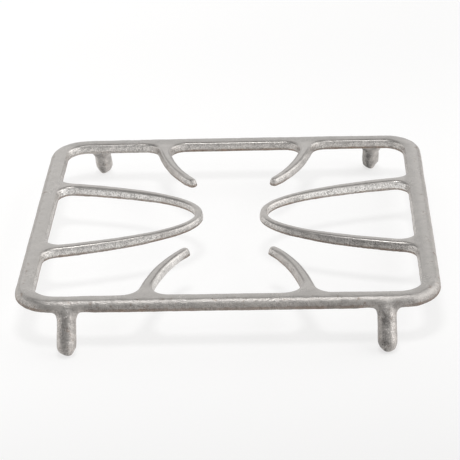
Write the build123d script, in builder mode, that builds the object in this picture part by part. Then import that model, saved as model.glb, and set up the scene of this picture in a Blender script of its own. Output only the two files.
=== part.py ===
from build123d import *

import os
from math import cos, radians, sin, sqrt, tan

# Hob pan support: one iron casting that carries a pan over a gas burner.
# Millimetres, +Z up. The origin lies on the floor under the middle of the support.
# A rounded ring of four rails carries two loops that reach in from the side rails, four curved
# prongs that reach in from the front and back rails, and four round legs that splay outwards.

# Rails
frame_width = 220.0  # along X, over the side rails
frame_depth = 207.0  # along Y, over the front and back rails
support_height = 25.4  # from the floor to the top face, where the pan rests
rail_width = 10.2  # of each rail, seen from above
rail_thickness = 5.8  # from the top face to the underside
corner_radius = 22.0  # of the outer corners, seen from above

# Loops, one on each side rail with its nose towards the burner
loop_root_spread = 82.0  # between the middles of a loop's two arms, at the rail
loop_nose_gap = 31.0  # between the noses of the two loops
loop_fullness = 26.0  # from the X axis to the point that bends an arm's curve
loop_root_width = 6.8
loop_nose_width = 4.6
loop_root_fillet = 8.0

# Prongs, two on the front rail and two on the back rail
prong_root_spacing = 88.0  # between the roots of the two prongs on a rail
prong_tip_spacing = 47.0  # between the middles of their tips
prong_tip_reach = 60.0  # from the rail's outer face to the middle of a tip
prong_bend_spacing = 79.0  # between the points that bend their curves
prong_bend_reach = 41.0  # from the rail's outer face to those points
prong_root_width = 7.2
prong_tip_width = 5.2
prong_root_fillet = 9.0

# Legs, two on the front rail and two on the back rail, round at both ends
leg_spacing = 162.5  # between the two legs of a rail
leg_diameter = 10.0
leg_root_inset = 2.6  # from the rail's outer face in to the middle of the round root
leg_root_depth = 7.0  # from the top face down to the middle of the round root
foot_overhang = 6.9  # from the rail's outer face out to the middle of the round foot
foot_flat_diameter = 4.0  # of the flat that a foot stands on
leg_root_blend = 2.0  # radius between a leg and its rail

# Edges and underside
shoulder_radius = 1.6  # along the edges of the top face, turned in two bevels
rim_radius = 0.7  # along the outer edge of the underside
rim_bevel = 0.4  # along the inner edges of the underside
relief_start = 4.5  # from the inner faces of the rails to where the underside starts to rise
nose_relief = 1.4  # how much thinner a loop's nose is than the rails

half_width = frame_width / 2
half_depth = frame_depth / 2
inner_half_width = half_width - rail_width
inner_half_depth = half_depth - rail_width
underside = support_height - rail_thickness
near = 0.01  # how close two places or directions count as one


def tapered_bar(root, bend, end, root_width, end_width):
    """Draw the two long edges of a bar that narrows along the curve from root to end."""
    root, bend, end = Vector(*root), Vector(*bend), Vector(*end)
    root_side = (bend - root).normalized().rotate(Axis.Z, 90)
    end_side = (end - bend).normalized().rotate(Axis.Z, 90)
    bend_side = (root_side + end_side) / (1 + root_side.dot(end_side))
    bend_width = (root_width + end_width) / 2
    edges = []
    for side in (0.5, -0.5):
        start = root + root_side * (side * root_width)
        middle = bend + bend_side * (side * bend_width)
        finish = end + end_side * (side * end_width)
        edges.append(Bezier(start, middle, finish))
    return edges


# The legs: a round bar with round ends, cut flat at the floor and mirrored to four places
foot_height = sqrt((leg_diameter / 2) ** 2 - (foot_flat_diameter / 2) ** 2)
leg_root = Vector(-leg_spacing / 2, -half_depth + leg_root_inset, support_height - leg_root_depth)
foot = Vector(-leg_spacing / 2, -half_depth - foot_overhang, foot_height)
leg_line = foot - leg_root

with BuildPart() as legs:
    with BuildSketch(Plane(origin=leg_root, x_dir=leg_line, z_dir=(1, 0, 0))):
        with Locations((leg_line.length / 2, 0)):
            SlotCenterToCenter(leg_line.length, leg_diameter)
            half_slot = (leg_line.length + leg_diameter, leg_diameter)
            Rectangle(*half_slot, align=(Align.CENTER, Align.MAX), mode=Mode.SUBTRACT)
    revolve(axis=Axis(leg_root, leg_line))
    split(bisect_by=Plane.XY, keep=Keep.TOP)
    mirror(about=Plane.XZ)
    mirror(about=Plane.YZ)


def on_leg_root(edge):
    """Say whether an edge lies where the surface of a leg comes out of its rail."""
    point = edge @ 0.5
    from_root = Vector(-abs(point.X), -abs(point.Y), point.Z) - leg_root
    along = from_root.dot(leg_line) / leg_line.length**2
    from_line = (from_root - leg_line * max(along, 0)).length
    in_rail = abs(point.Y) < half_depth + near and edge.bounding_box().min.Z > underside - near
    return in_rail and abs(from_line - leg_diameter / 2) < near


with BuildPart() as pan_support:
    with BuildSketch(Plane.XY.offset(underside)) as plan:
        RectangleRounded(frame_width, frame_depth, corner_radius)
        opening = (2 * inner_half_width, 2 * inner_half_depth, corner_radius - rail_width)
        RectangleRounded(*opening, mode=Mode.SUBTRACT)

        # Half of the left loop
        nose = -(loop_nose_gap + loop_nose_width) / 2
        with BuildLine():
            outer, inner = tapered_bar(
                root=(-half_width + rail_width / 2, -loop_root_spread / 2),
                bend=(nose, -loop_fullness),
                end=(nose, 0),
                root_width=loop_root_width,
                end_width=loop_nose_width,
            )
            Line(outer @ 0, inner @ 0)
            Line(outer @ 1, inner @ 1)
        make_face()

        # The front left prong
        with BuildLine():
            outer, inner = tapered_bar(
                root=(-prong_root_spacing / 2, -half_depth + rail_width / 2),
                bend=(-prong_bend_spacing / 2, -half_depth + prong_bend_reach),
                end=(-prong_tip_spacing / 2, -half_depth + prong_tip_reach),
                root_width=prong_root_width,
                end_width=prong_tip_width,
            )
            Line(outer @ 0, inner @ 0)
            tip = (outer @ 1 + inner @ 1) / 2 + (outer % 1) * (prong_tip_width / 2)
            ThreePointArc(outer @ 1, tip, inner @ 1)
        make_face()

        mirror(about=Plane.XZ)
        mirror(about=Plane.YZ)

        loop_reach = loop_root_spread / 2 + loop_root_width
        loop_roots = plan.vertices().filter_by(
            lambda v: abs(abs(v.X) - inner_half_width) < near and abs(v.Y) < loop_reach
        )
        fillet(loop_roots, loop_root_fillet)
        prong_reach = prong_root_spacing / 2 + prong_root_width
        prong_roots = plan.vertices().filter_by(
            lambda v: abs(abs(v.Y) - inner_half_depth) < near and abs(v.X) < prong_reach
        )
        fillet(prong_roots, prong_root_fillet)
    extrude(amount=rail_thickness)

    # The underside of the loops and prongs rises towards the burner
    relief_radius = min(inner_half_width, inner_half_depth) - relief_start
    relief_height = nose_relief * relief_radius / (relief_radius - loop_nose_gap / 2)
    with BuildSketch(Plane.XZ):
        with BuildLine():
            Polyline((0, underside), (relief_radius, underside), (0, underside + relief_height), close=True)
        make_face()
    revolve(axis=Axis.Z, mode=Mode.SUBTRACT)

    # Eased edges round the underside: a radius outside, where the legs join, and bevels inside
    fillet(pan_support.faces().sort_by(Axis.Z)[0].outer_wire().edges(), rim_radius)
    walls = pan_support.faces().filter_by(lambda f: abs(f.normal_at().Z) < near)
    underside_faces = pan_support.faces().filter_by(lambda f: f.normal_at().Z < near - 1)
    chamfer(underside_faces.edges() & walls.edges(), rim_bevel)

    # Soft shoulders round the top face: two bevels, whose corners lie on the shoulder's radius
    bevel_angle = radians(90 / 4)
    first_bevel = (tan(bevel_angle), 1)
    second_bevel = (1 - tan(bevel_angle), 1 / cos(bevel_angle) - 2 * sin(bevel_angle))
    for along_top, down_side in (first_bevel, second_bevel):
        top_face = pan_support.faces().sort_by(Axis.Z)[-1]
        lengths = (along_top * shoulder_radius, down_side * shoulder_radius)
        chamfer(top_face.edges(), *lengths, reference=top_face)

    add(legs.part)
    fillet(pan_support.edges().filter_by(on_leg_root), leg_root_blend)

os.makedirs("parts", exist_ok=True)
pan_support.part.label = "pan_support"
export_step(pan_support.part, "parts/pan_support.step")

leg_splay = leg_line.get_angle(Vector(0, 0, -1))
print(f"pan support: {pan_support.part.volume:.0f} mm3, legs splayed by {leg_splay:.1f} degrees")
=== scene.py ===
# %% [markdown]
# A hob pan support: a ring of four rails with two loops and four prongs, on four splayed legs, all
# cast in one piece of iron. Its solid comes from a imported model, in metres, with +Z up and the feet
# on z = 0. This lesson dresses that solid as a sand casting. It gets small even faces, leaning
# walls, rolled edges, an uneven skin and a bare metal finish, and then a pale table and soft lamps.
# Nothing on it moves, so its one piece rides on one body.

from math import radians, tan
from types import SimpleNamespace

import bmesh
import bpy
import numpy as np
from mathutils import Matrix, Vector


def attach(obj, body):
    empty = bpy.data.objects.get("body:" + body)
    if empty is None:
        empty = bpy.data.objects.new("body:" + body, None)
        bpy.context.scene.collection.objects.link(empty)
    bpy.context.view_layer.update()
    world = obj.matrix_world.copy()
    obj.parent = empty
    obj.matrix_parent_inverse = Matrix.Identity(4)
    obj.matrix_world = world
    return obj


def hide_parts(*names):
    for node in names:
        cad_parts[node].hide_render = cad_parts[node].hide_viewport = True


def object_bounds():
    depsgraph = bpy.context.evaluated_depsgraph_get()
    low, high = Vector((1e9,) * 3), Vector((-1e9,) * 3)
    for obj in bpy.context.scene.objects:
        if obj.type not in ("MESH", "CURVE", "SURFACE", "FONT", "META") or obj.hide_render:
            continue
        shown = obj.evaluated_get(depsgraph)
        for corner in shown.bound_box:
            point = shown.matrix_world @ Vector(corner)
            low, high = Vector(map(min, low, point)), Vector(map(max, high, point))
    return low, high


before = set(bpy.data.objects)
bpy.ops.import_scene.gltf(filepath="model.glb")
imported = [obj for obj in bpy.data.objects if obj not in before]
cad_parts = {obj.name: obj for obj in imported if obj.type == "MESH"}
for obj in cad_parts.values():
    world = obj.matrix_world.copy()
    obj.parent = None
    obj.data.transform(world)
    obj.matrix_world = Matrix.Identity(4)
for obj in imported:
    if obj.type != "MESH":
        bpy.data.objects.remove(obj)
cad_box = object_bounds()
MM = 0.001
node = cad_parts["pan_support"]
print("frame:", len(node.data.polygons), "triangles in", node.name)

# %% [markdown]
# The camera. The support is seen from in front and a little above through a long lens, so its
# rails stay almost parallel. A camera could be placed by eye and turned with a constraint. This one
# was fitted to the support's outline, so it is written the way the fit gave it: how far round, how
# high, how far away, a small roll, and a focal length in pixels of the square picture.

# %% Camera
PICTURE_SIDE = 460
FOCAL_PIXELS = 1857.2
SENSOR_WIDTH = 36.0
CAMERA_ELEVATION = radians(26.588)
CAMERA_AZIMUTH = radians(2.536)
CAMERA_ROLL = radians(-2.129)
CAMERA_DISTANCE = 1007.2 * MM
CAMERA_AIM = Vector((0.0, -23.1 * MM, cad_box[1].z))


def add_camera():
    """Place the camera on a sphere round its aim, looking inwards."""
    data = bpy.data.cameras.new("camera")
    data.sensor_width = SENSOR_WIDTH
    data.lens = FOCAL_PIXELS / PICTURE_SIDE * SENSOR_WIDTH
    camera = bpy.data.objects.new("camera", data)
    bpy.context.collection.objects.link(camera)
    turn = Matrix.Rotation(CAMERA_AZIMUTH, 4, "Z")
    tilt = Matrix.Rotation(radians(90) - CAMERA_ELEVATION, 4, "X")
    roll = Matrix.Rotation(CAMERA_ROLL, 4, "Z")
    back = Matrix.Translation((0, 0, CAMERA_DISTANCE))
    camera.matrix_world = Matrix.Translation(CAMERA_AIM) @ turn @ tilt @ roll @ back
    bpy.context.scene.camera = camera
    return camera


camera = add_camera()
print("camera: lens", round(camera.data.lens, 1), "mm at", [round(c, 3) for c in camera.location])

# %% [markdown]
# The casting starts as a copy of the frame's mesh, because the frame itself is never changed. That
# mesh is loose triangles, each with its own three points, so the copy's doubled points are merged
# first. The rails' sizes are the solid's own: the steps below need to know where a rail ends and
# where a leg begins.

# %% A copy of the frame
MERGE_DISTANCE = 1e-6


def plain_copy(source, name):
    """Copy a mesh and merge its loose triangles."""
    mesh = source.data.copy()
    mesh.name = name
    work = bmesh.new()
    work.from_mesh(mesh)
    bmesh.ops.remove_doubles(work, verts=work.verts, dist=MERGE_DISTANCE)
    work.to_mesh(mesh)
    work.free()
    mesh.materials.clear()
    made = bpy.data.objects.new(name, mesh)
    bpy.context.collection.objects.link(made)
    return made


casting = plain_copy(node, "casting")
print("casting:", len(casting.data.vertices), "points once merged")

# %% Sizes of the rails
RAIL_WIDTH = 10.2 * MM
RAIL_DEPTH = 5.8 * MM
FRAME_DEPTH = 207 * MM
TOP = cad_box[1].z
UNDERSIDE = TOP - RAIL_DEPTH
INNER_WALL = FRAME_DEPTH / 2 - RAIL_WIDTH
print("rails: from", round(UNDERSIDE / MM, 1), "mm up to", round(TOP / MM, 1), "mm")

# %% [markdown]
# The collars. Where a leg meets its rail, the real casting flares in a soft web, which lets the
# iron flow round the corner of the mould. The solid has only a small blend there. The flare could
# be sculpted by hand, but four flares would come out different. Here each leg gets a short cone
# that is sunk into the rail above and the leg below, and the next step melts it into them. The
# feet are found from the lowest points, so the cones follow the legs wherever the frame puts them.

# %% Feet
FOOT_SLICE = 1 * MM


def points_of(mesh):
    """Read a mesh's vertices as an array with a row for each."""
    flat = np.empty(3 * len(mesh.vertices))
    mesh.vertices.foreach_get("co", flat)
    return flat.reshape(-1, 3)


def find_feet(points):
    """Find the middle of each foot, from the lowest points."""
    low = points[points[:, 2] < FOOT_SLICE]
    feet = []
    for side in (-1, 1):
        for end in (-1, 1):
            mine = low[(low[:, 0] * side > 0) & (low[:, 1] * end > 0)]
            feet.append(Vector(mine.mean(axis=0)))
    return feet


feet = find_feet(points_of(casting.data))
print("feet:", [[round(c / MM, 1) for c in foot] for foot in feet])

# %% Collars
LEG_SPLAY = radians(34.5)
LEG_RADIUS = 5 * MM
COLLAR_RADIUS = 8 * MM
COLLAR_TOP = UNDERSIDE + 3.5 * MM
COLLAR_BOTTOM = UNDERSIDE - 4 * MM
COLLAR_STEPS = 24
WALL_CLEARANCE = 1 * MM


def leg_point(foot, height):
    """Follow a leg's axis up to a height."""
    inwards = -np.sign(foot.y) * tan(LEG_SPLAY)
    return foot + Vector((0, inwards, 1)) * (height - foot.z)


def collar_ring(work, foot, height, radius):
    """Add one ring of a collar, widened along the rail and kept off its inner wall."""
    middle = leg_point(foot, height)
    ring = []
    for step in range(COLLAR_STEPS):
        turn = 2 * np.pi * step / COLLAR_STEPS
        point = middle + Vector((radius * np.cos(turn), LEG_RADIUS * np.sin(turn), 0))
        point.y = np.sign(foot.y) * max(abs(point.y), INNER_WALL + WALL_CLEARANCE)
        ring.append(work.verts.new(point))
    return ring


def add_collar(work, foot):
    """Add a flared collar round the top of a leg."""
    lower = collar_ring(work, foot, COLLAR_BOTTOM, LEG_RADIUS)
    upper = collar_ring(work, foot, COLLAR_TOP, COLLAR_RADIUS)
    for a, b in zip(range(COLLAR_STEPS), [*range(1, COLLAR_STEPS), 0]):
        work.faces.new((lower[a], lower[b], upper[b], upper[a]))
    work.faces.new(lower[::-1])
    work.faces.new(upper)


work = bmesh.new()
work.from_mesh(casting.data)
for foot in feet:
    add_collar(work, foot)
work.to_mesh(casting.data)
work.free()
print("collars:", len(feet), "cones of", COLLAR_STEPS, "sides")

# %% [markdown]
# Even faces. The solid is made of long thin triangles, and a mesh bends only at its points, so it
# can't carry an uneven skin yet. Subdividing would turn the long triangles into slivers. A voxel
# remesh rebuilds the surface on a fine grid instead: the faces come out small and all of one size,
# and shapes that overlap, such as the collars, become one closed skin. The voxel is about as small
# as it can be before the piece has too many triangles.

# %% Remesh
VOXEL = 0.7 * MM


def apply_modifiers(piece):
    """Turn a piece's modifiers into its plain mesh."""
    bpy.context.view_layer.update()
    graph = bpy.context.evaluated_depsgraph_get()
    mesh = bpy.data.meshes.new_from_object(piece.evaluated_get(graph))
    piece.modifiers.clear()
    piece.data = mesh


remesh = casting.modifiers.new("even faces", "REMESH")
remesh.mode = "VOXEL"
remesh.voxel_size = VOXEL
remesh.use_smooth_shade = True
apply_modifiers(casting)
print("casting:", len(casting.data.polygons), "even faces")

# %% [markdown]
# The outer wall and the feet. A pattern has to leave the sand without tearing it, so the wall of a
# casting leans inwards as it rises, here most in front, its top edge is rolled over, and each foot
# narrows towards its tip. A bevel can't roll this edge, because the remesh has left no sharp edge
# to work on. A lattice could bend the wall, but not at one steady angle round the corners. So each
# point measures how far it lies inside the frame's outline, and moves by a rule.

# %% Tapered feet
FOOT_TAPER = 0.2
TIP_HEIGHT = 5 * MM
FOOT_REACH = 3 * LEG_RADIUS


def fade(values, start, end):
    """Go softly from 0 at the start to 1 at the end."""
    share = np.clip((values - start) / (end - start), 0, 1)
    return share * share * (3 - 2 * share)


def taper_feet(points):
    """Narrow each leg towards its tip."""
    for foot in feet:
        near = np.linalg.norm(points - np.array(foot), axis=1) < FOOT_REACH
        tip = near * (1 - fade(points[:, 2], 0.1 * TIP_HEIGHT, TIP_HEIGHT))
        points[:, 0] -= FOOT_TAPER * tip * (points[:, 0] - foot.x)


points = points_of(casting.data)
taper_feet(points)
print("feet: narrowed by", FOOT_TAPER, "at the tips")

# %% Way in from the outline
CORNER_RADIUS = 22 * MM


def from_outline(points):
    """Measure how far points lie inside the frame's rounded outline, and which way is out."""
    half = np.array([cad_box[1].x, FRAME_DEPTH / 2]) - CORNER_RADIUS
    beyond = abs(points[:, :2]) - half
    corner = np.linalg.norm(np.maximum(beyond, 0), axis=1)
    inside = CORNER_RADIUS - corner - np.minimum(beyond.max(axis=1), 0)
    nearer = beyond == beyond.max(axis=1, keepdims=True)
    out = np.where(corner[:, None] > 0, np.maximum(beyond, 0), nearer)
    out = out / np.linalg.norm(out, axis=1, keepdims=True) * np.sign(points[:, :2])
    return inside, out


from_rim, out = from_outline(points)
print("outline: the deepest point lies", round(from_rim.max() / MM, 1), "mm inside")

# %% Leaning wall and rolled edge
FRONT_DRAFT = tan(radians(13))
SIDE_DRAFT = tan(radians(6))
BACK_SHARE = -0.6
LEAN_DEPTH = (0.1 * RAIL_WIDTH, 0.5 * RAIL_WIDTH)
ROLL_RADIUS = 3.2 * MM
ROLL_REACH = 3.0 * MM
ROLL_START = 2 * MM


def shape_outside(points, inside, out):
    """Lean the frame's outer wall inwards and roll its top edge."""
    height = np.clip(points[:, 2] - UNDERSIDE, 0, RAIL_DEPTH)
    draft = SIDE_DRAFT + (FRONT_DRAFT - SIDE_DRAFT) * np.clip(-out[:, 1], BACK_SHARE, 1)
    shift = draft * height * (1 - fade(inside, *LEAN_DEPTH))
    points[:, :2] -= out * shift[:, None]
    edge = draft * RAIL_DEPTH
    into_roll = np.clip(ROLL_REACH + edge - inside - shift, 0, ROLL_REACH)
    rolled = TOP - ROLL_RADIUS + np.sqrt(ROLL_RADIUS**2 - into_roll**2)
    lowered = np.minimum(points[:, 2], rolled)
    points[:, 2] = np.where(height > ROLL_START, lowered, points[:, 2])


shape_outside(points, from_rim, out)
casting.data.vertices.foreach_set("co", points.ravel())
casting.data.update()
print("outer wall: leans by up to", round(FRONT_DRAFT * RAIL_DEPTH / MM, 2), "mm")

# %% [markdown]
# The marks for the skin. The skin of the casting is not the same all over: the leg roots are
# hollow, the feet end in knobs, and the bars have rounder crowns than the rails. Such places could
# be painted by hand as vertex weights. Here each one is measured, from how far a point lies inside
# the outline, how high it is and which way it faces. The answer is kept in the mesh as a named
# attribute, one number from 0 to 1 for each point, which node trees can read.

# %% Zones of the casting
OUTER_HALF = (0.4 * RAIL_WIDTH, 0.6 * RAIL_WIDTH)
LOWER_EDGE = (UNDERSIDE - 1 * MM, UNDERSIDE)
UPRIGHT_TURN = (0.2, 0.8)
BAR_START = (1.0 * RAIL_WIDTH, 1.3 * RAIL_WIDTH)
LOOP_SPAN = (52 * MM, 46 * MM)


def normals_of(mesh):
    """Read the directions that a mesh's vertices face."""
    flat = np.empty(3 * len(mesh.vertices))
    mesh.vertex_normals.foreach_get("vector", flat)
    return flat.reshape(-1, 3)


x, y, z = points.T
normals = normals_of(casting.data)
outside = 1 - fade(from_rim, *OUTER_HALF)
above = fade(z, *LOWER_EDGE)
upright = 1 - fade(abs(normals[:, 2]), *UPRIGHT_TURN)
off_rails = fade(from_rim, *BAR_START)
beside_loop = fade(abs(y), *LOOP_SPAN)
prong = off_rails * (1 - beside_loop)
print(f"zones: {off_rails.mean():.0%} of the points lie on bars, {prong.mean():.0%} on prongs")

# %% Marks for the skin
ROOT_REACH = (6.4 * MM, 16 * MM)
INNER_EDGE = (0.75 * RAIL_WIDTH, 0.95 * RAIL_WIDTH)
TIP_KNOBS = (0.3 * TIP_HEIGHT, TIP_HEIGHT)
SHOULDER_HEIGHT = (TOP - 4 * MM, TOP - 2.8 * MM)
CROWN_HEIGHT = (TOP - 4 * MM, TOP - 2.5 * MM)


def mark(mesh, name, values):
    """Store one number for each vertex under a name."""
    layer = mesh.attributes.new(name, "FLOAT", "POINT")
    layer.data.foreach_set("value", values.astype(np.float32))
    print(f"mark: {name} has a mean of {values.mean():.2f}")


def from_roots(points):
    """Measure how far points lie from the nearest leg root."""
    nearest = np.full(len(points), np.inf)
    for foot in feet:
        away = points - np.array(leg_point(foot, UNDERSIDE))
        nearest = np.minimum(nearest, np.linalg.norm(away, axis=1))
    return nearest


root = 1 - fade(from_roots(points), *ROOT_REACH)
root *= 1 - fade(from_rim, *INNER_EDGE)
mark(casting.data, "root", root)
mark(casting.data, "tip", 1 - fade(z, *TIP_KNOBS))
mark(casting.data, "inside", (1 - outside) * above)
mark(casting.data, "wall", upright * above * (1 - outside))
mark(casting.data, "shoulder", outside * fade(z, *SHOULDER_HEIGHT))
mark(casting.data, "crown", np.maximum(prong, (1 - outside) * fade(z, *CROWN_HEIGHT)))

# %% [markdown]
# The marks for the finish. Bare iron is not one grey, and some walls are sandier than others. On
# top of that, some bars and walls are painted paler, as painted light, and some walls, tops and leg
# sides darker, as painted shade. An even noise would miss that, and a picture would need a UV map.
# So the painted light, the painted shade and the sandy places are marked in the same way as before,
# each by the bar or rail that it lies on. Their strengths were tuned to match a photograph, so the
# painted ones stand for the light there and not for the iron, and can be turned down under other
# light.

# %% Painted light on bars
RIGHT_BARS = (15 * MM, 40 * MM)
FRONT_HALF = (-5 * MM, 5 * MM)
NOSE = (42 * MM, 37 * MM)
NOSE_LOSS = 0.6
LEFT_FRONT_ARM_LOSS = 0.2
PRONG_START = (1.2 * RAIL_WIDTH, 2.4 * RAIL_WIDTH)
PRONG_TURN = (0.2, 0.6)
BACK_PRONG_LOSS = 0.4

front_right = fade(x, *RIGHT_BARS) * fade(-y, *FRONT_HALF)
# Painted light: the loops' inner walls are painted paler, less at their noses and on the left front
# arm.
painted_light_bars = off_rails * beside_loop * (1 - front_right)
painted_light_bars *= 1 - NOSE_LOSS * fade(abs(x), *NOSE)
painted_light_bars *= 1 - LEFT_FRONT_ARM_LOSS * (x < 0) * (y < 0)
off_root = fade(from_rim, *PRONG_START)
# Painted light: prong walls that face right are painted paler, less on the back prongs.
faces_right = fade(normals[:, 0], *PRONG_TURN)
painted_light_prong = prong * off_root * faces_right * (1 - BACK_PRONG_LOSS * (y > 0))
mark(casting.data, "prong", prong * off_root)

# %% Painted light on walls
BACK_RAIL = (80 * MM, 88 * MM)
LEFT_END = (45 * MM, 55 * MM)
PRONG_PAINTED_LIGHT = 0.8
RAIL_PAINTED_LIGHT = 0.3
BACK_LEFT_PAINTED_LIGHT = 0.2
PRONG_RIMLESS = 0.9
BACK_LEFT_RIMLESS = 0.5

# Painted light: the back rail's inner wall is painted a little paler, most towards its left end.
back_left = fade(y, *BACK_RAIL) * fade(-x, *LEFT_END)
painted_light_rail = (RAIL_PAINTED_LIGHT + BACK_LEFT_PAINTED_LIGHT * back_left) * (1 - prong)
painted_light_walls = np.maximum(PRONG_PAINTED_LIGHT * painted_light_prong, painted_light_rail)
mark(casting.data, "loop", np.maximum(painted_light_bars, painted_light_walls) * (1 - outside) * above)
# The walls with painted light are left without the brown rim, which is partly painted shade.
rimless_rail = BACK_LEFT_RIMLESS * back_left * (1 - outside)
mark(casting.data, "clean", np.maximum(PRONG_RIMLESS * painted_light_prong, rimless_rail))

# %% Painted shade on walls and legs
ARM_END = (90 * MM, 97 * MM)
RIGHT_LEGS = (40 * MM, 60 * MM)
LEG_TURN = (-0.2, 0.5)
BACK_LEG_GAIN = 0.8
FRONT_WALL = (80 * MM, 95 * MM)
WALL_END = (28 * MM, 42 * MM)
WALL_END_SHADE = 0.4

# Painted shade: the right loop's front arm, the left sides of the right legs (the back one most) and
# the outer parts of the front wall are painted darker.
dark_arm = front_right * beside_loop * (1 - fade(x, *ARM_END))
right_leg = fade(x, *RIGHT_LEGS) * (1 - above) * fade(-normals[:, 0], *LEG_TURN)
right_leg *= 1 + BACK_LEG_GAIN * (y > 0)
front_ends = outside * above * fade(-y, *FRONT_WALL) * fade(abs(x), *WALL_END)
stain = np.maximum(dark_arm, right_leg)
mark(casting.data, "stain", np.maximum(stain, WALL_END_SHADE * front_ends))

# %% Painted shade on tops, and sandy walls
INNER_HALF = (0.4 * RAIL_WIDTH, 0.85 * RAIL_WIDTH)
RIGHT_RAIL = (90 * MM, 98 * MM)
FRONT_RAIL = (85 * MM, 93 * MM)
FRONT_RAIL_SHARE = 0.4
BACK_TOP = (INNER_WALL - 2 * MM, INNER_WALL + 1 * MM)
BACK_TOP_SHADE = 0.17
INNER_TOP_SHADE = 0.14
PRONG_CALM = 0.85
ARM_CALM = 0.5

# Painted shade: the back rail's top and the inner halves of the right and front rails' tops are painted
# darker.
inner_half = fade(from_rim, *INNER_HALF) * (1 - off_rails)
front_or_right = np.maximum(fade(x, *RIGHT_RAIL), FRONT_RAIL_SHARE * fade(-y, *FRONT_RAIL))
inner_top_shade = INNER_TOP_SHADE * inner_half * front_or_right
mark(casting.data, "dull", np.maximum(BACK_TOP_SHADE * fade(y, *BACK_TOP), inner_top_shade))
calm = np.maximum(PRONG_CALM * prong, ARM_CALM * dark_arm)
mark(casting.data, "sandy", (1 - outside) * above * (1 - calm))

# %% [markdown]
# Helpers for node trees. A tree that is built in code needs many small sums, and each is a node
# with links. These helpers write one in a line, and they work in the trees of geometry and of
# materials alike, because both kinds share the nodes for sums and noise.

# %% Nodes and sums


def feed(tree, socket, value):
    """Give a socket a link or a plain value."""
    if isinstance(value, bpy.types.NodeSocket):
        tree.links.new(value, socket)
    else:
        socket.default_value = value


def add_node(tree, kind, settings=None, **inputs):
    """Add a node, with its settings and its inputs."""
    made = tree.nodes.new(kind)
    for name, value in (settings or {}).items():
        setattr(made, name, value)
    for name, value in inputs.items():
        feed(tree, made.inputs[name.replace("_", " ")], value)
    return made


def calc(tree, operation, *values):
    """Add one sum after the other to the first value, and return the answer."""
    answer = values[0]
    for value in values[1:]:
        made = add_node(tree, "ShaderNodeMath", {"operation": operation})
        feed(tree, made.inputs[0], answer)
        feed(tree, made.inputs[1], value)
        answer = made.outputs[0]
    return answer


def plus(tree, *values):
    """Add values together."""
    return calc(tree, "ADD", *values)


def minus(tree, *values):
    """Take the later values from the first."""
    return calc(tree, "SUBTRACT", *values)


def times(tree, *values):
    """Multiply values."""
    return calc(tree, "MULTIPLY", *values)


def most(tree, *values):
    """Keep the largest of several values."""
    return calc(tree, "MAXIMUM", *values)


# %% Vectors and noise


def vector_calc(tree, operation, first, second):
    """Add a vector sum, and return its answer."""
    made = add_node(tree, "ShaderNodeVectorMath", {"operation": operation})
    feed(tree, made.inputs[0], first)
    feed(tree, made.inputs["Scale" if operation == "SCALE" else 1], second)
    return made.outputs["Value" if operation == "DOT_PRODUCT" else "Vector"]


def noise(tree, place, size, seed, detail=2.0):
    """Add a noise with features of a given size, from -0.5 to 0.5."""
    made = add_node(
        tree,
        "ShaderNodeTexNoise",
        {"noise_dimensions": "4D"},
        Vector=place,
        W=seed,
        Scale=1 / size,
        Detail=detail,
    )
    return minus(tree, made.outputs[0], 0.5)


# %% [markdown]
# The skin. Sand leaves an iron casting slightly uneven: its corners are filled, its edges are soft,
# its faces swell and dip by a tenth of a millimetre or so, and the tips of the feet come out
# knobbly. It could be sculpted, or left to a displacement in the material, but an exported part
# loses that. A geometry node tree moves the real surface instead, in steps: it fills the hollow leg
# roots, softens the edges, leans the inner walls, and then pushes the points in and out by noise.
# Its sizes are named inputs, and a fixed seed gives the same casting each time.

# %% Steps of the skin


def marked(tree, name):
    """Read a mark of the mesh."""
    kind = "GeometryNodeInputNamedAttribute"
    return add_node(tree, kind, {"data_type": "FLOAT"}, Name=name).outputs[0]


def position(tree):
    """Read where each point is."""
    return tree.nodes.new("GeometryNodeInputPosition").outputs[0]


def facing(tree):
    """Read which way each point faces."""
    return tree.nodes.new("GeometryNodeInputNormal").outputs[0]


def blurred(tree, rounds, weight=1.0):
    """Average each point's place with its neighbours', round after round."""
    made = add_node(
        tree,
        "GeometryNodeBlurAttribute",
        {"data_type": "FLOAT_VECTOR"},
        Value=position(tree),
        Iterations=rounds,
        Weight=weight,
    )
    return made.outputs[0]


def hollow(tree, rounds):
    """Measure how far each point lies below the average round it."""
    away = vector_calc(tree, "SUBTRACT", blurred(tree, rounds), position(tree))
    return vector_calc(tree, "DOT_PRODUCT", away, facing(tree))


def move_to(tree, geometry, target):
    """Move every point to a new place."""
    return add_node(tree, "GeometryNodeSetPosition", Geometry=geometry, Position=target).outputs[0]


def push(tree, geometry, distance):
    """Push every point outwards by a distance."""
    offset = vector_calc(tree, "SCALE", facing(tree), distance)
    return add_node(tree, "GeometryNodeSetPosition", Geometry=geometry, Offset=offset).outputs[0]


# %% Roots, edges and walls


def fill_roots(tree, given):
    """Fill the hollow corners at the leg roots."""
    filling = most(tree, hollow(tree, given["Root rounds"]), 0.0)
    return push(tree, given["Geometry"], times(tree, filling, marked(tree, "root")))


def soften_edges(tree, given, geometry):
    """Soften every edge a little, and the marked ones more."""
    softened = move_to(tree, geometry, blurred(tree, given["Edge rounds"]))
    for place in ("root", "shoulder", "crown"):
        rounds = given[place.capitalize() + " softening"]
        softened = move_to(tree, softened, blurred(tree, rounds, marked(tree, place)))
    return softened


def lean_walls(tree, given, geometry):
    """Lean the inner walls about the middle of their height."""
    height = add_node(tree, "ShaderNodeSeparateXYZ", Vector=position(tree)).outputs["Z"]
    below = minus(tree, given["Draft middle"], height)
    return push(tree, geometry, times(tree, below, given["Draft"], marked(tree, "wall")))


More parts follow.
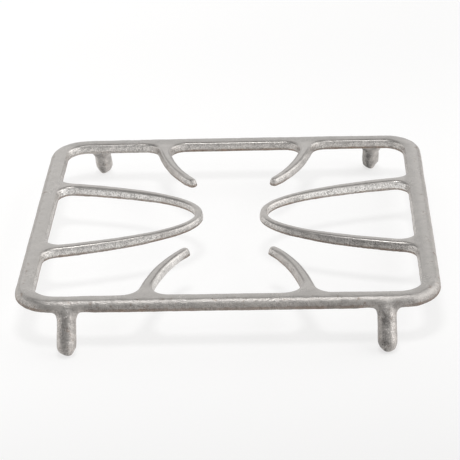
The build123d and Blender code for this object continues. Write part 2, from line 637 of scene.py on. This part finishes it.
# %% Uneven surface
SWELL_SIZE = 14 * MM
RIPPLE_SIZE = 3 * MM
KNOB_SIZE = 6 * MM
OUTER_RIPPLE = 1.8
print("skin:", [round(size / MM, 2) for size in (SWELL_SIZE, RIPPLE_SIZE, KNOB_SIZE)], "mm across")


def roughen(tree, given, geometry):
    """Push the surface in and out: wide swells, fine ripples, and knobs on the feet."""
    place = position(tree)
    seed = given["Seed"]
    swell = times(tree, noise(tree, place, SWELL_SIZE, seed), given["Swell"])
    ripple = times(tree, noise(tree, place, RIPPLE_SIZE, seed), given["Ripple"])
    ripple = times(tree, ripple, minus(tree, OUTER_RIPPLE, marked(tree, "inside")))
    knobs = times(tree, noise(tree, place, KNOB_SIZE, seed, 0.0), given["Knobs"])
    knobs = times(tree, knobs, marked(tree, "tip"))
    return push(tree, geometry, plus(tree, swell, ripple, knobs))


# %% Tree of the skin
SKIN = {
    "Root rounds": 46,
    "Root softening": 9,
    "Edge rounds": 2,
    "Shoulder softening": 14,
    "Crown softening": 5,
    "Draft": tan(radians(7)),
    "Draft middle": TOP - RAIL_DEPTH / 2,
    "Swell": 0.5 * MM,
    "Ripple": 0.2 * MM,
    "Knobs": 2.4 * MM,
    "Seed": 3.0,
}
EDGE_ROUNDS = 4


def cast_skin_tree(material):
    """Build the node tree that makes the skin of a casting."""
    tree = bpy.data.node_groups.new("cast skin", "GeometryNodeTree")
    tree.interface.new_socket("Geometry", in_out="INPUT", socket_type="NodeSocketGeometry")
    tree.interface.new_socket("Geometry", in_out="OUTPUT", socket_type="NodeSocketGeometry")
    for name, value in SKIN.items():
        kind = "NodeSocketInt" if isinstance(value, int) else "NodeSocketFloat"
        tree.interface.new_socket(name, in_out="INPUT", socket_type=kind)
    given = tree.nodes.new("NodeGroupInput").outputs
    geometry = fill_roots(tree, given)
    geometry = soften_edges(tree, given, geometry)
    geometry = lean_walls(tree, given, geometry)
    geometry = roughen(tree, given, geometry)
    edge = times(tree, hollow(tree, EDGE_ROUNDS), -1 / MM)
    kind = "GeometryNodeStoreNamedAttribute"
    stored = add_node(tree, kind, Geometry=geometry, Name="edge", Value=edge).outputs[0]
    real = add_node(tree, "GeometryNodeRealizeInstances", Geometry=stored).outputs[0]
    kind = "GeometryNodeSetMaterial"
    dressed = add_node(tree, kind, Geometry=real, Material=material).outputs[0]
    result = tree.nodes.new("NodeGroupOutput")
    tree.links.new(dressed, result.inputs[0])
    print("cast skin:", len(tree.nodes), "nodes with", len(SKIN), "named inputs")
    return tree


# %% [markdown]
# The finish is bare iron, tumbled in a drum until its tops have a satin shine. Its walls keep the
# grain of the sand, and its lower edges are brown, partly rust and partly painted shade. A picture
# wrapped on a UV map could show all this, but a remeshed surface has no UV map, and seams would
# show. So the colour, roughness and bump come from noise on Object coordinates, which fits any
# surface, steered by the marks. The metal is a Principled shader at full Metallic. It mirrors what
# is round it, tinted by its grey, so roughness matters as much as tone.

# %% Words for the finish
IRON_MARKS = (
    "up", "edge", "inside", "loop", "root", "stain", "sandy", "front", "band", "clean", "prong", "dull",
)
WALL_TURN = (0.75, 0.4)
SIDE_TURN = (0.98, 0.9)
LEG_TOP = (UNDERSIDE + 2 * MM, UNDERSIDE - 2 * MM)
PATCH_SIZE = 5 * MM
PATCH_SEED = 1.0
SAND_SIZE = 0.55 * MM
SAND_SEED = 2.0
SAND_DETAIL = 1.0


def ramp(tree, value, low, high):
    """Go softly from 0 where a value is low to 1 where it is high."""
    made = add_node(tree, "ShaderNodeMapRange", {"interpolation_type": "SMOOTHSTEP"}, Value=value)
    made.inputs["From Min"].default_value = low
    made.inputs["From Max"].default_value = high
    return made.outputs[0]


def read_iron(tree):
    """Gather what the finish needs to know about each point of the casting."""
    iron = SimpleNamespace()
    for name in IRON_MARKS:
        made = add_node(tree, "ShaderNodeAttribute", {"attribute_name": name})
        setattr(iron, name, made.outputs["Fac"])
    iron.place = tree.nodes.new("ShaderNodeTexCoord").outputs["Object"]
    iron.height = add_node(tree, "ShaderNodeSeparateXYZ", Vector=iron.place).outputs["Z"]
    iron.outer = minus(tree, 1.0, iron.inside)
    iron.wall = ramp(tree, iron.up, *WALL_TURN)
    iron.leg = ramp(tree, iron.height, *LEG_TOP)
    iron.softer = times(tree, iron.outer, ramp(tree, iron.up, *SIDE_TURN))
    iron.patches = noise(tree, iron.place, PATCH_SIZE, PATCH_SEED)
    iron.sand = noise(tree, iron.place, SAND_SIZE, SAND_SEED, SAND_DETAIL)
    return iron


# %% [markdown]
# Brown edges. Iron rusts first where the drum doesn't rub it: along the lower edges, under the
# feet, and in specks on the outer wall. The brown along the lower edges and under the feet is
# partly rust and partly painted shade, as these edges face the shaded table beneath them. The rust
# could be painted on a mask by hand. Here the skin has already measured how far each point stands
# out from the average round it, which finds the edges wherever they run, and noise breaks the
# brown up into patches.

# %% Brown edges and specks
RIM_BEND = (0.03, 0.12)
RIM_TOP = (TOP - 2.5 * MM, TOP - 3.5 * MM)
RIM_BOTTOM = (UNDERSIDE - 2.5 * MM, UNDERSIDE - 1 * MM)
FOOT_BROWN = (1.5 * MM, 0.4 * MM)
RIM_SHARE = 0.7
RIM_OUTER_LOSS = 0.15
SPECK_SIZE = 2.6 * MM
SPECK_SEED = 8.0
SPECK_CUT = (0.08, 0.24)
SPECK_SHARE = 0.55
print("brown edges: share", RIM_SHARE, "of the tone, specks", SPECK_SHARE)


def brown_share(tree, iron):
    """Say how brown a point is: rust and painted shade along lower edges and under the feet, and rust
    specks outside.
    """
    low = times(tree, ramp(tree, iron.height, *RIM_TOP), ramp(tree, iron.height, *RIM_BOTTOM))
    rim = times(tree, ramp(tree, iron.edge, *RIM_BEND), low, minus(tree, 1.0, iron.root))
    rim = most(tree, rim, ramp(tree, iron.height, *FOOT_BROWN))
    share = minus(tree, RIM_SHARE, times(tree, iron.outer, RIM_OUTER_LOSS))
    rim = times(tree, rim, plus(tree, share, iron.patches), minus(tree, 1.0, iron.clean))
    specks = ramp(tree, noise(tree, iron.place, SPECK_SIZE, SPECK_SEED), *SPECK_CUT)
    return most(tree, rim, times(tree, specks, iron.outer, SPECK_SHARE))


# %% [markdown]
# The tones. The tops and the walls each have a grey of their own, all slightly warm, and the walls
# with painted light get a paler grey. A fine dark line, a painted reflection, runs along the inner
# edges.
# Separate materials could give the greys, but with hard borders between them. Mixing them by the
# marks keeps the borders soft, and one material is simpler.

# %% Tones of the iron
TOP_TONE = (0.44, 0.42, 0.4, 1)
WALL_TONE = (0.45, 0.425, 0.403, 1)
# The paler grey is painted light on the walls that the lamps catch.
PAINTED_LIGHT_TONE = (0.76, 0.74, 0.715, 1)
DARK_REFLECTION_TONE = (0.2, 0.185, 0.175, 1)
RIM_TONE = (0.19, 0.13, 0.092, 1)
LINE_START = (0.995, 0.97)
LINE_END = (0.84, 0.92)
LINE_SHARE = 0.48
PRONG_LINE_GAIN = 0.12
print("tones: tops", TOP_TONE[:3], "walls", WALL_TONE[:3], "bars", PAINTED_LIGHT_TONE[:3])


def blend(tree, share, first, second, way="MIX"):
    """Mix two colours by a share."""
    made = add_node(tree, "ShaderNodeMix", {"data_type": "RGBA", "blend_type": way})
    sockets = (made.inputs[0], made.inputs[6], made.inputs[7])
    for socket, value in zip(sockets, (share, first, second)):
        feed(tree, socket, value)
    return made.outputs[2]


def painted_reflection_line(tree, iron):
    """Paint a dark reflection line where an inner edge starts to turn down."""
    line = times(tree, ramp(tree, iron.up, *LINE_START), ramp(tree, iron.up, *LINE_END))
    lined = times(tree, most(tree, iron.front, iron.prong), iron.inside)
    share = plus(tree, LINE_SHARE, times(tree, iron.prong, PRONG_LINE_GAIN))
    return times(tree, line, lined, share)


def iron_tone(tree, iron):
    """Colour the casting: grey tops and walls, paler painted light, then brown edges and painted dark
    reflection lines.
    """
    walls = blend(tree, iron.loop, WALL_TONE, PAINTED_LIGHT_TONE)
    tone = blend(tree, iron.wall, TOP_TONE, walls)
    tone = blend(tree, brown_share(tree, iron), tone, RIM_TONE)
    return blend(tree, painted_reflection_line(tree, iron), tone, DARK_REFLECTION_TONE)


# %% [markdown]
# The grain. Grains of sand half a millimetre wide print themselves into the walls, the tops are
# mottled more softly, and the outer wall has faint upright strokes, where the pattern slid out of
# the sand. One noise could stand for all of it, but it would look like a pattern, because real
# iron varies at several sizes at once. So noises of different sizes are added up round 1, and the
# tone is multiplied by the sum. Painted shade on some walls, tops and leg sides then takes a little
# off it, and painted light lifts the rest of each leg.

# %% Grain and mottle
GRIT = 0.3
WALL_GRIT = 0.6
SANDY_GRIT = 0.9
COARSE_SIZE = 9 * MM
COARSE_SEED = 4.0
COARSE_CUT = (0.0, 0.2)
MOTTLE = 0.35
WALL_MOTTLE = 0.45
LEG_MOTTLE = 0.4
STROKE_SIZE = 1.1 * MM
STROKE_SEED = 5.0
STROKE_STRETCH = (1.0, 1.0, 0.12)
STROKE_SHARE = 0.5
print("grain:", [round(size / MM, 2) for size in (SAND_SIZE, STROKE_SIZE, PATCH_SIZE)], "mm across")


def grain(tree, iron):
    """Vary the brightness round 1: sandy grain, soft patches, and upright strokes outside."""
    coarse = ramp(tree, noise(tree, iron.place, COARSE_SIZE, COARSE_SEED), *COARSE_CUT)
    wall_grit = plus(tree, WALL_GRIT, times(tree, iron.sandy, SANDY_GRIT))
    grit = plus(tree, times(tree, wall_grit, iron.wall), plus(tree, GRIT, coarse))
    mottle = plus(tree, MOTTLE, times(tree, iron.wall, WALL_MOTTLE))
    mottle = plus(tree, mottle, times(tree, iron.leg, LEG_MOTTLE))
    upright = vector_calc(tree, "MULTIPLY", iron.place, STROKE_STRETCH)
    strokes = noise(tree, upright, STROKE_SIZE, STROKE_SEED)
    strokes = times(tree, strokes, times(tree, iron.wall, iron.outer), STROKE_SHARE)
    patches = times(tree, iron.patches, mottle)
    return plus(tree, 1.0, patches, times(tree, iron.sand, grit), strokes)


# %% Painted shade and light
# Painted shade on the marked walls, tops and leg sides; painted light on the rest of each leg.
PAINTED_SHADE_DEPTH = 0.28
LEG_SHADE_DEPTH = 0.36
LEG_PAINTED_LIGHT = 0.13
print("stains: take", PAINTED_SHADE_DEPTH, "off a wall and", round(LEG_SHADE_DEPTH - LEG_PAINTED_LIGHT, 2), "off a leg")


def iron_shade(tree, iron):
    """Paint shade on the marked walls, tops and leg sides, and paint light on the rest of each leg."""
    painted_shades = times(tree, iron.stain, iron.wall, PAINTED_SHADE_DEPTH)
    shaded_tops = times(tree, iron.dull, minus(tree, 1.0, iron.wall))
    band = minus(tree, times(tree, iron.band, LEG_SHADE_DEPTH), LEG_PAINTED_LIGHT)
    return minus(tree, grain(tree, iron), painted_shades, shaded_tops, times(tree, iron.leg, band))


# %% [markdown]
# Satin and bump. The rubbed tops mirror softly, and the walls are duller. The grains could be real
# geometry, but at half a millimetre that takes millions of faces. A bump only tilts the light on
# each grain, which costs almost nothing and looks the same at this distance.

# %% Satin and bump
SATIN = 0.34
WALL_MATT = 0.08
PATCH_MATT = 0.15
SIDE_MATT = 0.18
FRONT_GLOSS = 0.1
LEG_GLOSS = 0.12
FACE_TURN = (0.45, 0.2)
SAND_BUMP = 0.5
OUTER_BUMP = 0.14
LEG_BUMP = 0.1
ALL_BUMP = 0.08
LUMP_SIZE = 1.7 * MM
LUMP_SEED = 6.0
LUMP_DEPTH = 1.5
BUMP_DISTANCE = 1.1 * MM
print("satin: roughness", SATIN, "on the tops and", round(SATIN + WALL_MATT, 2), "on the inner walls")


def iron_roughness(tree, iron):
    """Make the tops satin, the walls duller, and the outer sides the dullest."""
    roughness = plus(tree, SATIN, times(tree, iron.wall, WALL_MATT))
    roughness = plus(tree, roughness, times(tree, iron.patches, PATCH_MATT))
    sides = minus(tree, SIDE_MATT, times(tree, iron.front, FRONT_GLOSS))
    roughness = plus(tree, roughness, times(tree, iron.softer, sides))
    return minus(tree, roughness, times(tree, iron.leg, LEG_GLOSS))


def iron_bump(tree, iron):
    """Raise the grains of sand, and lumps on the legs."""
    sandy_walls = times(tree, iron.sandy, ramp(tree, iron.up, *FACE_TURN), SAND_BUMP)
    outer_bump = plus(tree, OUTER_BUMP, times(tree, iron.leg, LEG_BUMP))
    strength = plus(tree, sandy_walls, times(tree, iron.softer, outer_bump), ALL_BUMP)
    lumps = noise(tree, iron.place, LUMP_SIZE, LUMP_SEED)
    lumps = times(tree, lumps, times(tree, iron.leg, LUMP_DEPTH))
    height = plus(tree, iron.sand, lumps)
    kind = "ShaderNodeBump"
    bump = add_node(tree, kind, Height=height, Distance=BUMP_DISTANCE, Strength=strength)
    return bump.outputs[0]


# %% Bare iron


def bare_iron():
    """Make the material of the casting."""
    material = bpy.data.materials.new("bare_iron")
    material.use_nodes = True
    tree = material.node_tree
    shader = tree.nodes["Principled BSDF"]
    shader.inputs["Metallic"].default_value = 1.0
    iron = read_iron(tree)
    tone = blend(tree, 1.0, iron_tone(tree, iron), iron_shade(tree, iron), "MULTIPLY")
    tree.links.new(tone, shader.inputs["Base Color"])
    tree.links.new(iron_roughness(tree, iron), shader.inputs["Roughness"])
    tree.links.new(iron_bump(tree, iron), shader.inputs["Normal"])
    return material


iron_material = bare_iron()
print("finish:", iron_material.name, "with", len(iron_material.node_tree.nodes), "nodes")

# %% [markdown]
# Skin and finish on. The modifier's inputs are set by the identifiers of their sockets, because
# names may repeat, and before it is first evaluated. Then it becomes a plain mesh, as an exported
# part needs. The skin has turned the faces a little, so the marks that need an exact direction are
# measured only now. The points are kept from sinking below the table.

# %% Dress the casting
# Painted shade on the legs falls on their sides that face the front and a little left.
LEG_SHADE_FACING = np.array([-0.2, -0.98])
LEG_SHADE_TURN = (0.78, 0.96)
FRONT_TURN = (0.5, 0.95)
TINY = 1e-6


def add_skin(piece, material):
    """Give a piece its cast skin, turn it into a plain mesh, and stand it on the table."""
    skin = piece.modifiers.new("cast skin", "NODES")
    skin.node_group = cast_skin_tree(material)
    for socket in skin.node_group.interface.items_tree:
        if socket.name in SKIN:
            skin[socket.identifier] = SKIN[socket.name]
    apply_modifiers(piece)
    points = points_of(piece.data)
    points[:, 2] = np.maximum(points[:, 2], 0.0)
    piece.data.vertices.foreach_set("co", points.ravel())
    piece.data.update()


def mark_facing(mesh):
    """Mark which way the skin faces: up, to the front, and to each leg's side with painted shade."""
    normals = normals_of(mesh)
    level = np.linalg.norm(normals[:, :2], axis=1) + TINY
    mark(mesh, "up", normals[:, 2])
    mark(mesh, "front", fade(-normals[:, 1] / level, *FRONT_TURN))
    mark(mesh, "band", fade((normals[:, :2] @ LEG_SHADE_FACING) / level, *LEG_SHADE_TURN))


add_skin(casting, iron_material)
mark_facing(casting.data)
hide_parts("pan_support")
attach(casting, "root")
print("casting:", len(casting.data.polygons), "faces with skin")

# %% [markdown]
# The table. Such parts are photographed on a white sweep, brighter than any lamp on it could make a
# matt floor without also flooding the part with light. So the floor is matt, which keeps the
# shadows, and adds a glow that only the camera and mirror-like reflections see. The metal shows it
# too, as it would show a real white table. The glow falls off slowly towards the front, the back
# and the right, set to match a photograph.

# %% Glow of the table
FLOOR_TONE = (0.86, 0.855, 0.85, 1)
GLOW_TONE = (1.0, 0.998, 0.995, 1)
FLOOR_GLOW = 0.66
GLOW_LEVEL = 1.095
FRONT_FALL = 0.16
FRONT_REACH = (-0.05, -0.3)
BACK_FALL = 0.07
BACK_REACH = (0.05, 0.35)
RIGHT_FALL = 0.09
RIGHT_REACH = (-0.2, 0.2)
print("glow: level", GLOW_LEVEL, "less", FRONT_FALL, "in front and", BACK_FALL, "at the back")


def glow_strength(tree):
    """Let the glow fall off towards the front, the back and the right."""
    place = tree.nodes.new("ShaderNodeTexCoord").outputs["Object"]
    way = add_node(tree, "ShaderNodeSeparateXYZ", Vector=place).outputs
    front = times(tree, ramp(tree, way["Y"], *FRONT_REACH), FRONT_FALL)
    back = times(tree, ramp(tree, way["Y"], *BACK_REACH), BACK_FALL)
    right = times(tree, ramp(tree, way["X"], *RIGHT_REACH), RIGHT_FALL)
    return minus(tree, GLOW_LEVEL, front, back, right)


def table_white():
    """Make the floor's material: matt for the lamps, glowing for camera and mirror."""
    material = bpy.data.materials.new("floor")
    material.use_nodes = True
    tree = material.node_tree
    tree.nodes.clear()
    matt = add_node(tree, "ShaderNodeBsdfDiffuse", Color=FLOOR_TONE).outputs[0]
    glow = add_node(tree, "ShaderNodeEmission", Color=GLOW_TONE, Strength=glow_strength(tree))
    path = tree.nodes.new("ShaderNodeLightPath").outputs
    seen = most(tree, path["Is Camera Ray"], path["Is Glossy Ray"], path["Is Transmission Ray"])
    mix = add_node(tree, "ShaderNodeMixShader", Fac=times(tree, seen, FLOOR_GLOW))
    tree.links.new(matt, mix.inputs[1])
    tree.links.new(glow.outputs[0], mix.inputs[2])
    result = tree.nodes.new("ShaderNodeOutputMaterial")
    tree.links.new(mix.outputs[0], result.inputs["Surface"])
    return material


# %% Floor
FLOOR_HALF = 12.0


def add_floor():
    """Lay a pale floor under the feet."""
    mesh = bpy.data.meshes.new("floor")
    corners = [(-1, -1, 0), (1, -1, 0), (1, 1, 0), (-1, 1, 0)]
    mesh.from_pydata([Vector(c) * FLOOR_HALF for c in corners], [], [(0, 1, 2, 3)])
    mesh.materials.append(table_white())
    floor = bpy.data.objects.new("floor", mesh)
    bpy.context.collection.objects.link(floor)
    return floor


floor = add_floor()
print("floor:", 2 * FLOOR_HALF, "m wide, with", floor.data.materials[0].name)

# %% [markdown]
# The lamps. Bare metal shows what is round it more than its own colour, so a studio hangs large
# soft panels rather than bulbs. A picture of a room as the world would do, but it hides which
# panel makes which shine. Here the ceiling lights the tops, the key on the right and the fill on
# the left light the walls, the backdrop and the canopy are what the tops mirror, and a wide, weak
# panel in front lifts the front wall. Each panel is given by its brightness, so that a larger one
# shines the same, only over more of the part. Their places were tuned until the shines fell where
# a photograph shows them.

# %% Panels
MIDDLE = (0, 0, 0.02)


def add_panel(name, centre, width, height, brightness, aim=MIDDLE):
    """Hang a flat lamp that faces a point."""
    data = bpy.data.lights.new(name, "AREA")
    data.shape = "RECTANGLE"
    data.size = width
    data.size_y = height
    data.energy = brightness * np.pi * width * height
    lamp = bpy.data.objects.new(name, data)
    bpy.context.collection.objects.link(lamp)
    turn = (Vector(aim) - Vector(centre)).to_track_quat("-Z", "Y")
    lamp.matrix_world = Matrix.Translation(centre) @ turn.to_matrix().to_4x4()
    lamp.visible_camera = False
    print("lamp:", name, round(data.energy, 2), "W")


add_panel("ceiling", (0, -0.15, 1.2), width=0.32, height=0.32, brightness=13.0, aim=(0, -0.15, 0))
add_panel("key", (0.68, 0.03, 0.4), width=1.3, height=0.75, brightness=1.7, aim=(0, -0.02, 0.02))
add_panel("fill", (-0.5, 0.0, 0.14), width=0.8, height=0.24, brightness=1.2)
add_panel("backdrop", (-0.11, 0.52, 0.26), width=0.96, height=0.5, brightness=0.83)
add_panel("front", (0, -1.3, 1.0), width=2.0, height=1.7, brightness=0.34)
add_panel("canopy", (0, 0.36, 0.62), width=0.8, height=0.3, brightness=0.3)

# %% World
ROOM_GREY = (0.27, 0.27, 0.27, 1)

world = bpy.data.worlds.new("studio")
world.use_nodes = True
world.node_tree.nodes["Background"].inputs["Color"].default_value = ROOM_GREY
bpy.context.scene.world = world
bpy.context.scene.view_settings.view_transform = "Standard"
print("world:", world.name, "at", ROOM_GREY[0])
